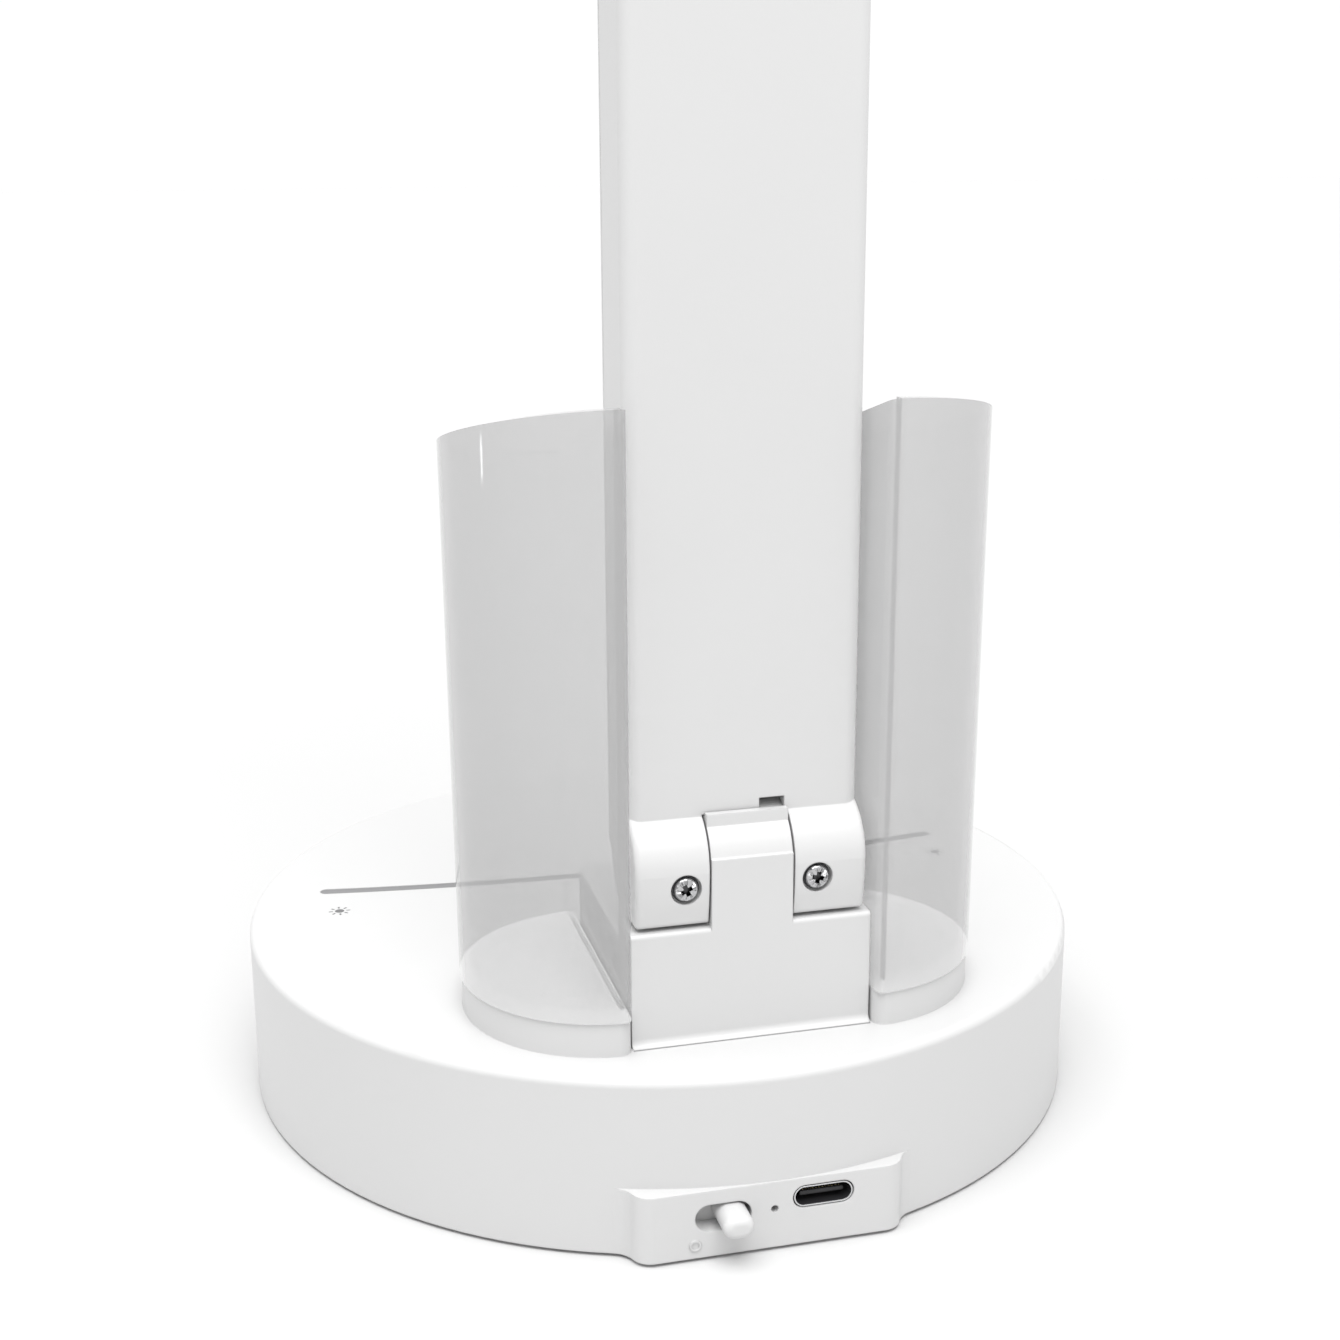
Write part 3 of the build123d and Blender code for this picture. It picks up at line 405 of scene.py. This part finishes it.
# ---------- Pen cups ----------
CUP_RIM_SLOPE = 0.275      # rise of the rim per unit towards the rear
CUP_WALL = 1.6 * MM
CUP_CORNER = 2.0 * MM      # size of the upright corners beside the flat wall
CUP_EDGE = 0.55 * MM       # rounding of the rim and the foot
CUP_DRAFT = 0.65 * MM      # how much less the radius is at the foot than at the rim
CUP_SPIGOT = 2.0 * MM      # depth of the spigot below the foot, hidden in the plinth
CUP_LIFT = 0.05 * MM       # gap between the foot and the plinth
CUP_SPARE = 6.0 * MM       # height above the rim that the slanted cut takes off
CUP_FLOOR_ZONE = 6.0 * MM  # above the spigot's end, the height that the floor stays below
CUP_UNDER_ZONE = 3.0 * MM  # and the one that the underside stays below
CLOSE = 0.001 * MM         # places nearer than this count as the same


def make_left_cup():
    """A half-round cup: flat towards the stem, its rim sloping up to the rear, edges rounded."""
    low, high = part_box("pen_cup_left")
    flat_x = low.x
    middle_y = (low.y + high.y) / 2
    foot = low.z + CUP_SPIGOT + CUP_LIFT
    foot_centre = (flat_x, middle_y, foot)
    rim_r = high.x - flat_x
    foot_r = rim_r - CUP_DRAFT
    deselect_all()
    bpy.ops.mesh.primitive_circle_add(vertices=128, radius=foot_r, fill_type="NGON",
                                      location=foot_centre)
    cup = bpy.context.object
    settle(cup, "pen_cup_left_smoke")
    select_faces(cup, lambda centre, normal: True)
    bpy.ops.mesh.bisect(plane_co=foot_centre, plane_no=(1, 0, 0), clear_inner=True,
                        use_fill=False)
    select_vertices(cup, lambda place: abs(place.x - flat_x) < CLOSE)
    bpy.ops.mesh.bevel(affect="VERTICES", offset=CUP_CORNER, segments=8, profile=0.5)
    edit_mode("FACE")
    bpy.ops.mesh.select_all(action="SELECT")
    height = high.z + CUP_SPARE - foot
    bpy.ops.mesh.extrude_region_move(TRANSFORM_OT_translate={"value": (0, 0, height)})
    growth = rim_r / foot_r
    bpy.ops.transform.resize(value=(growth, growth, 1), center_override=foot_centre)
    bpy.ops.mesh.delete(type="ONLY_FACE")
    # Cut along the slanted rim
    bpy.ops.mesh.select_all(action="SELECT")
    rim_top = (flat_x, high.y, high.z)
    bpy.ops.mesh.bisect(plane_co=rim_top, plane_no=(0, -CUP_RIM_SLOPE, 1), clear_outer=True,
                        use_fill=False)
    normals_outward(cup)
    apply_modifier(cup, "SOLIDIFY", thickness=CUP_WALL, offset=-1.0, use_even_offset=True)
    apply_modifier(cup, "BEVEL", width=CUP_EDGE, segments=4, limit_method="ANGLE",
                   angle_limit=math.radians(50))
    smooth(cup, 40)
    return cup


def dress_cup(cup, node):
    """The outside milky, the inside paler and clearer, and the underside opaque, in a white far
    lighter than the plastic: painted light that stands in for the light coming through the walls
    onto the cup's floor.
    """
    low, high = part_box(node)
    flat_x = low.x if node == "pen_cup_left" else high.x
    middle_y = (low.y + high.y) / 2
    dress(cup, LOOKS["cup_smoke"], CUP_INSIDE, CUP_UNDERSIDE_PAINTED_LIGHT)
    for face in cup.data.polygons:
        height = face.center.z - low.z
        away = Vector((face.center.x - flat_x, face.center.y - middle_y, 0))
        depth = abs(away.x)
        faces_away = face.normal.x * away.x > 0.5 * depth
        inside_flat = CUP_WALL * 0.5 < depth < CUP_WALL * 1.1 and faces_away
        inside_round = face.normal.dot(away) < -0.2 * MM
        on_floor = face.normal.z > 0.7 and height < CUP_FLOOR_ZONE
        # Slot 2: the underside, in the painted-light white
        if face.normal.z < -0.7 and height < CUP_UNDER_ZONE:
            face.material_index = 2
        elif inside_round or inside_flat or on_floor:
            face.material_index = 1


def make_cups():
    left = make_left_cup()
    right = mirrored_x(left, "pen_cup_right_smoke")
    smooth(right, 40)
    for cup, node in ((left, "pen_cup_left"), (right, "pen_cup_right")):
        dress_cup(cup, node)
        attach(cup, "base")
        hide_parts(node)


make_cups()


# ---------- Clamp screws ----------
SHANK_R = 1.1 * MM
SHANK_LENGTH = 2.6 * MM
SEAT_DEPTH = 1.2 * MM      # from the front of the CAD screws back to the seat of their heads
HEAD_SHARE = 0.88          # head radius over flange radius
CROSS_LENGTH = 1.75 * MM
CROSS_WIDTH = 0.68 * MM
CROSS_DEPTH = 0.8 * MM


def cross_arm(top, turn):
    """One bar of the cross recess, sunk in the top of the head."""
    deselect_all()
    bpy.ops.mesh.primitive_cube_add(size=1, location=(0, 0, top))
    arm = bpy.context.object
    arm.scale = (CROSS_LENGTH, CROSS_WIDTH, 2 * CROSS_DEPTH)
    arm.rotation_euler = (0, 0, math.radians(turn))
    return settle(arm, "cross_arm")


def make_screw(name):
    """A washer-head cross-recess screw standing on the origin, its head up along Z."""
    low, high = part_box("clamp_screws")
    flange_r = (high.z - low.z) / 2
    head_r = HEAD_SHARE * flange_r
    deselect_all()
    bpy.ops.mesh.primitive_cylinder_add(vertices=64, radius=SHANK_R, depth=SHANK_LENGTH,
                                        location=(0, 0, -SHANK_LENGTH / 2))
    screw = bpy.context.object
    settle(screw, name)
    # Known fault: the new cylinder's edges stay selected beside its top face, so each step
    # extrudes them too and leaves stray faces inside the screw, whose mesh isn't closed.
    select_faces(screw, lambda centre, normal: normal.z > 0.9)
    bpy.ops.mesh.extrude_region_move(TRANSFORM_OT_translate={"value": (0, 0, 0)})
    grow = flange_r / SHANK_R
    bpy.ops.transform.resize(value=(grow, grow, 1))
    # Each ring of the flange and the domed head: its rise in mm, and its radius
    rings = (
        (0.28, flange_r),
        (0.08, flange_r - 0.1 * MM),
        (0.0, head_r),
        (0.5, head_r - 0.04 * MM),
        (0.22, head_r - 0.22 * MM),
        (0.14, head_r - 0.6 * MM),
        (0.05, head_r - 1.1 * MM),
    )
    for rise, radius in rings:
        bpy.ops.mesh.extrude_region_move(TRANSFORM_OT_translate={"value": (0, 0, rise * MM)})
        object_mode()
        picked = [v.co for v in screw.data.vertices if v.select]
        now = max(math.hypot(co.x, co.y) for co in picked)
        bpy.ops.object.mode_set(mode="EDIT")
        scale = radius / now
        bpy.ops.transform.resize(value=(scale, scale, 1))
    object_mode()
    top = max(v.co.z for v in screw.data.vertices)
    for arm in [cross_arm(top, turn) for turn in (0, 90)]:
        apply_modifier(screw, "BOOLEAN", operation="DIFFERENCE", object=arm, solver="EXACT")
        bpy.data.objects.remove(arm, do_unlink=True)
    normals_outward(screw)
    apply_modifier(screw, "BEVEL", width=0.06 * MM, segments=2, limit_method="ANGLE",
                   angle_limit=math.radians(35))
    smooth(screw, 30)
    dress_screw(screw, head_r, top)
    return screw


def dress_screw(screw, head_r, top):
    """Bright metal, with painted shade: the cross recess and the flange's rim are darker, in a dark
    metal where the same bright metal lies in shade.
    """
    dress(screw, LOOKS["screw_chrome"], SCREW_PAINTED_SHADE)
    # The recess walls, its sunk floor and the flange rim take the painted shade
    for face in screw.data.polygons:
        radius = math.hypot(face.center.x, face.center.y)
        near_cross = radius < 1.6 * MM and face.center.z > 0.2 * MM
        wall = near_cross and abs(face.normal.z) < 0.75
        sunk = near_cross and face.center.z < top - 0.45 * MM
        flange = radius > head_r + 0.02 * MM
        face.material_index = 1 if wall or sunk or flange else 0


def make_clamp_screws():
    low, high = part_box("clamp_screws")
    seat_y = high.y - SEAT_DEPTH
    middle_z = (low.z + high.z) / 2
    reach = high.x - (high.z - low.z) / 2
    pieces = []
    for side, hand, turn in ((-1, "right", -12), (1, "left", 24)):
        screw = make_screw(f"clamp_screw_{hand}")
        screw.rotation_euler = (math.radians(-90), math.radians(turn), 0)
        screw.location = (side * reach, seat_y, middle_z)
        pieces.append(settle(screw, screw.name))
    for screw in pieces:
        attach(screw, "stem")
        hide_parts("clamp_screws")


make_clamp_screws()


# ---------- USB socket ----------
USB_SKIN = 0.2 * MM
USB_BACK = 1.0 * MM            # from the back of the shell to the end of its mouth
TONGUE_HALF_WIDTH = 3.35 * MM
TONGUE_HALF_THICK = 0.34 * MM
TONGUE_ROOT = 0.8 * MM         # from the back of the shell to the tongue's rear end
TONGUE_SETBACK = 0.9 * MM      # from the mouth to the tongue's front
CONTACT_COUNT = 12             # on each side of the tongue
CONTACT_PITCH = 0.5 * MM
CONTACT_HALF_WIDTH = 0.13 * MM
CONTACT_HALF_THICK = 0.03 * MM
CONTACT_ENDS = (3.2 * MM, 0.4 * MM)   # behind the tongue's front


def rounded_bar(name, low, high, radius, segments):
    """A bar along Y with its four long edges rounded."""
    deselect_all()
    middle = [(a + b) / 2 for a, b in zip(low, high)]
    bpy.ops.mesh.primitive_cube_add(size=1, location=middle)
    bar = bpy.context.object
    bar.scale = [b - a for a, b in zip(low, high)]
    settle(bar, name)
    select_edges(bar, lambda a, b: abs(a.x - b.x) + abs(a.z - b.z) < CLOSE)
    bpy.ops.mesh.bevel(offset=radius, segments=segments, affect="EDGES")
    object_mode()
    return bar


def make_usb_shell(low, high):
    """A rolled steel shell, a circle drawn out sideways, black in its mouth: the black on the
    inside walls of the steel is painted shade, and the black at the back of the mouth is the
    insulator.
    """
    end_r = (high.z - low.z) / 2
    middle = Vector(((low.x + high.x) / 2, 0, (low.z + high.z) / 2))
    deselect_all()
    bpy.ops.mesh.primitive_circle_add(vertices=48, radius=end_r, fill_type="NGON",
                                      location=(low.x + end_r, high.y, middle.z),
                                      rotation=(math.radians(-90), 0, 0))
    shell = bpy.context.object
    settle(shell, "usb_shell")
    select_vertices(shell, lambda place: place.x > low.x + end_r + CLOSE)
    bpy.ops.transform.translate(value=(high.x - low.x - 2 * end_r, 0, 0))
    edit_mode("FACE")
    bpy.ops.mesh.select_all(action="SELECT")
    bpy.ops.mesh.inset(thickness=USB_SKIN, depth=0)
    mouth = (0, low.y + USB_BACK - high.y, 0)
    bpy.ops.mesh.extrude_region_move(TRANSFORM_OT_translate={"value": mouth})
    # Draw the outer edge back, and close it
    edit_mode("EDGE")
    bpy.ops.mesh.select_all(action="DESELECT")
    bpy.ops.mesh.select_non_manifold()
    outside = (0, low.y - high.y, 0)
    bpy.ops.mesh.extrude_region_move(TRANSFORM_OT_translate={"value": outside})
    bpy.ops.mesh.edge_face_add()
    normals_outward(shell)
    smooth(shell, 35)
    dress(shell, LOOKS["socket_steel"], LOOKS["cradle_black"])
    # Painted shade: the steel's inside walls deep in the mouth take the black plastic; the face at
    # the back of the mouth is the real black insulator
    for face in shell.data.polygons:
        inward = (face.center - middle).dot(Vector((face.normal.x, 0, face.normal.z))) < 0
        deep = face.center.y < high.y - 0.15 * MM
        face.material_index = 1 if deep and (inward or face.normal.y > 0.9) else 0
    return shell


def make_usb_tongue(middle_x, middle_z, rear, front):
    """The moulded tongue that carries the contacts."""
    tongue = rounded_bar("usb_tongue",
                         (middle_x - TONGUE_HALF_WIDTH, rear, middle_z - TONGUE_HALF_THICK),
                         (middle_x + TONGUE_HALF_WIDTH, front, middle_z + TONGUE_HALF_THICK),
                         0.2 * MM, 3)
    apply_modifier(tongue, "BEVEL", width=0.08 * MM, segments=2, limit_method="ANGLE",
                   angle_limit=math.radians(50))
    smooth(tongue, 35)
    dress(tongue, LOOKS["cradle_black"])
    return tongue


def make_usb_contacts(middle_x, middle_z, front):
    """A row of gilt contacts on each side of the tongue, as one piece."""
    rear_end, front_end = (front - end for end in CONTACT_ENDS)
    contacts = []
    for k in range(CONTACT_COUNT):
        x = middle_x + (k - (CONTACT_COUNT - 1) / 2) * CONTACT_PITCH
        for z in (middle_z - TONGUE_HALF_THICK, middle_z + TONGUE_HALF_THICK):
            low = (x - CONTACT_HALF_WIDTH, rear_end, z - CONTACT_HALF_THICK)
            high = (x + CONTACT_HALF_WIDTH, front_end, z + CONTACT_HALF_THICK)
            contacts.append(rounded_bar("usb_contact", low, high, 0.01 * MM, 1))
    row = join(contacts, "usb_contacts")
    dress(row, CONTACT_GOLD)
    return row


def make_usb_socket():
    low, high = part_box("usb_socket")
    middle_x, middle_z = (low.x + high.x) / 2, (low.z + high.z) / 2
    front = high.y - TONGUE_SETBACK
    shell = make_usb_shell(low, high)
    tongue = make_usb_tongue(middle_x, middle_z, low.y + TONGUE_ROOT, front)
    pads = make_usb_contacts(middle_x, middle_z, front)
    for piece, slot in ((shell, "socket_steel"), (tongue, "cradle_black"), (pads, "tab_nickel")):
        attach(piece, "base")
    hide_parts("usb_socket")


make_usb_socket()


# ---------- Floor, light and camera ----------
FLOOR_SIZE = 12.0
FLOOR_GAP = 0.05 * MM            # between the feet and the floor
FLOOR_GREY = 0.55
SKY_STRENGTH = 1.02
OVERHEAD_STRENGTH = 2.6
OVERHEAD_SPREAD = 50             # degrees, as wide as a large ceiling light
OVERHEAD_DIRECTION = (-0.15, -0.2, -0.97)
CAMERA_PLACE = (0.0769, 0.3091, 0.1563)
CAMERA_TURN = (74.61, 0.287, 165.526)   # degrees about X, Y and Z
CAMERA_LENS = 52.34
SENSOR_WIDTH = 36.0


def make_floor():
    deselect_all()
    bpy.ops.mesh.primitive_plane_add(size=FLOOR_SIZE, location=(0, 0, cad_low.z - FLOOR_GAP))
    floor = bpy.context.object
    floor.name = "floor"
    material, _, shader = new_material("studio_floor")
    shader.inputs["Base Color"].default_value = (FLOOR_GREY, FLOOR_GREY, FLOOR_GREY, 1.0)
    shader.inputs["Roughness"].default_value = 0.9
    shader.inputs["Specular IOR Level"].default_value = 0.2
    floor.data.materials.append(material)


def placed_light(name, kind, place, direction):
    """A light of the given kind at a place, shining in a direction; its data."""
    light = bpy.data.lights.new(name, kind)
    lamp = bpy.data.objects.new(name, light)
    bpy.context.scene.collection.objects.link(lamp)
    lamp.location = place
    lamp.rotation_euler = Vector(direction).to_track_quat("-Z", "Y").to_euler()
    return light


def softbox(name, place, aim, size, power, shape="DISK", size_y=None):
    """An area light at a place, turned to face the point aimed at."""
    light = placed_light(name, "AREA", place, Vector(aim) - Vector(place))
    light.shape = shape
    light.size = size
    if size_y:
        light.size_y = size_y
    light.energy = power


def make_light():
    world = bpy.data.worlds.new("studio")
    world.use_nodes = True
    sky = world.node_tree.nodes["Background"]
    sky.inputs["Color"].default_value = (1.0, 1.0, 1.0, 1.0)
    sky.inputs["Strength"].default_value = SKY_STRENGTH
    bpy.context.scene.world = world
    overhead = placed_light("overhead_light", "SUN", (0, 0, 0), OVERHEAD_DIRECTION)
    overhead.energy = OVERHEAD_STRENGTH
    overhead.angle = math.radians(OVERHEAD_SPREAD)
    softbox("rear_softbox", (-0.05, 0.32, 0.48), aim=(0, 0.03, 0.03), size=0.3, power=0.8)
    softbox("edge_strip", (0.52, -0.053, 0.09), aim=(0.037, 0.051, 0.115), size=0.012,
            power=0.016, shape="RECTANGLE", size_y=0.024)


def make_camera():
    data = bpy.data.cameras.new("camera")
    data.lens = CAMERA_LENS
    data.sensor_width = SENSOR_WIDTH
    data.clip_start = 0.01
    camera = bpy.data.objects.new("camera", data)
    bpy.context.scene.collection.objects.link(camera)
    camera.location = CAMERA_PLACE
    camera.rotation_euler = [math.radians(angle) for angle in CAMERA_TURN]
    bpy.context.scene.camera = camera
    bpy.context.scene.view_settings.view_transform = "Standard"


make_floor()
make_light()
make_camera()
